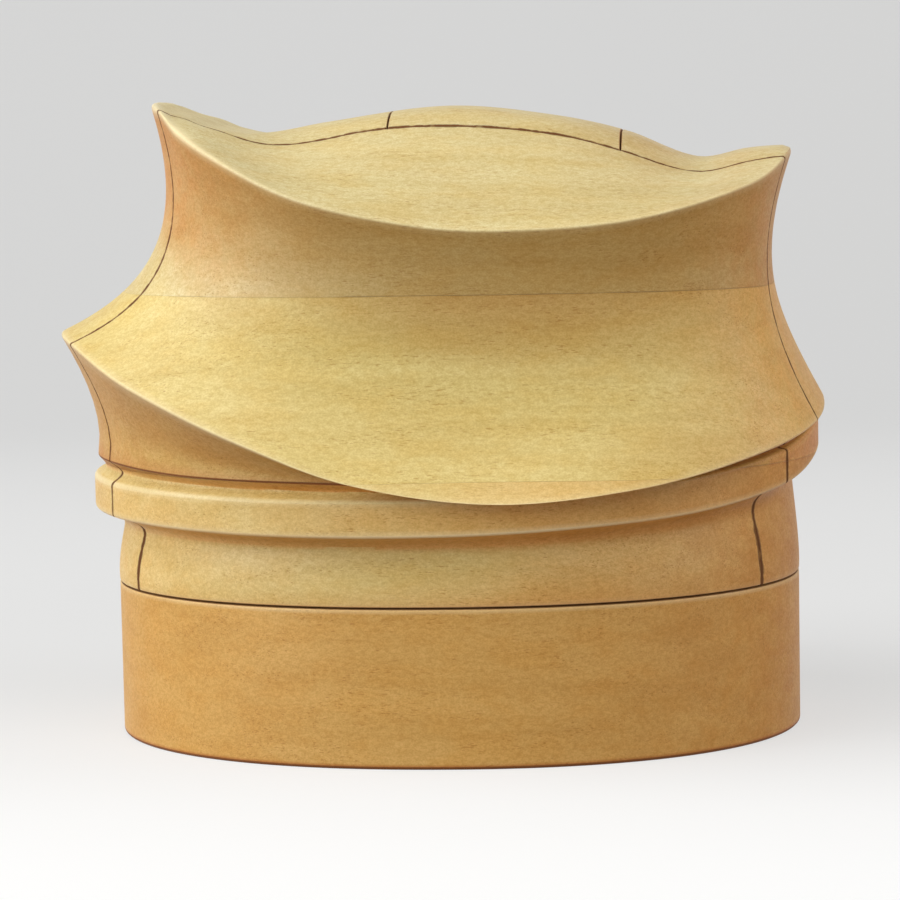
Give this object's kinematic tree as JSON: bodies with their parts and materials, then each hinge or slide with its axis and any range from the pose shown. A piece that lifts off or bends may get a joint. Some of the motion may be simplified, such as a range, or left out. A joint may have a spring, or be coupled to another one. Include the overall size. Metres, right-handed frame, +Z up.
{
  "type": "millinery head block",
  "caption": "Carved timber hat block: an oval plinth under a swept, ridged crown with a rising band, sawn into a puzzle of pieces around a centre key that lift off dowels.",
  "frame": {"origin": "centre of the head oval on the plinth's underside", "axes": "+Z up, +X along the head's long axis towards the end where the band rises, near side at -Y"},
  "size_m": [0.2225, 0.18, 0.1836],
  "materials": {
    "plinth_timber": "satin oiled, warm brown",
    "lower_board_timber": "satin oiled, warm brown",
    "middle_board_timber": "satin oiled, pale yellow",
    "upper_board_timber": "satin oiled, pale yellow",
    "dowel_timber": "plain, unfinished"
  },
  "bodies": {
    "plinth": {"base_plinth": "plinth_timber", "near_side_left_dowel": "dowel_timber", "near_side_right_dowel": "dowel_timber", "far_side_left_dowel": "dowel_timber", "far_side_right_dowel": "dowel_timber", "left_end_dowel": "dowel_timber", "centre_key_dowel": "dowel_timber", "right_end_dowel": "dowel_timber"},
    "near_side": {"near_side_lower_board": "lower_board_timber", "near_side_middle_board": "middle_board_timber", "near_side_upper_board": "upper_board_timber"},
    "far_side": {"far_side_lower_board": "lower_board_timber", "far_side_middle_board": "middle_board_timber", "far_side_upper_board": "upper_board_timber"},
    "left_end": {"left_end_lower_board": "lower_board_timber", "left_end_middle_board": "middle_board_timber", "left_end_upper_board": "upper_board_timber"},
    "centre_key": {"centre_key_lower_board": "lower_board_timber", "centre_key_middle_board": "middle_board_timber", "centre_key_upper_board": "upper_board_timber"},
    "right_end": {"right_end_lower_board": "lower_board_timber", "right_end_middle_board": "middle_board_timber", "right_end_upper_board": "upper_board_timber"}
  },
  "joints": [
    {"name": "near_side_lift", "type": "slide", "parent": "plinth", "child": "near_side", "axis": [0, 0, 1], "range_m": [0, 0.16]},
    {"name": "far_side_lift", "type": "slide", "parent": "plinth", "child": "far_side", "axis": [0, 0, 1], "range_m": [0, 0.16]},
    {"name": "left_end_lift", "type": "slide", "parent": "plinth", "child": "left_end", "axis": [0, 0, 1], "range_m": [0, 0.16]},
    {"name": "centre_key_lift", "type": "slide", "parent": "plinth", "child": "centre_key", "axis": [0, 0, 1], "range_m": [0, 0.16]},
    {"name": "right_end_lift", "type": "slide", "parent": "plinth", "child": "right_end", "axis": [0, 0, 1], "range_m": [0, 0.16]}
  ]
}
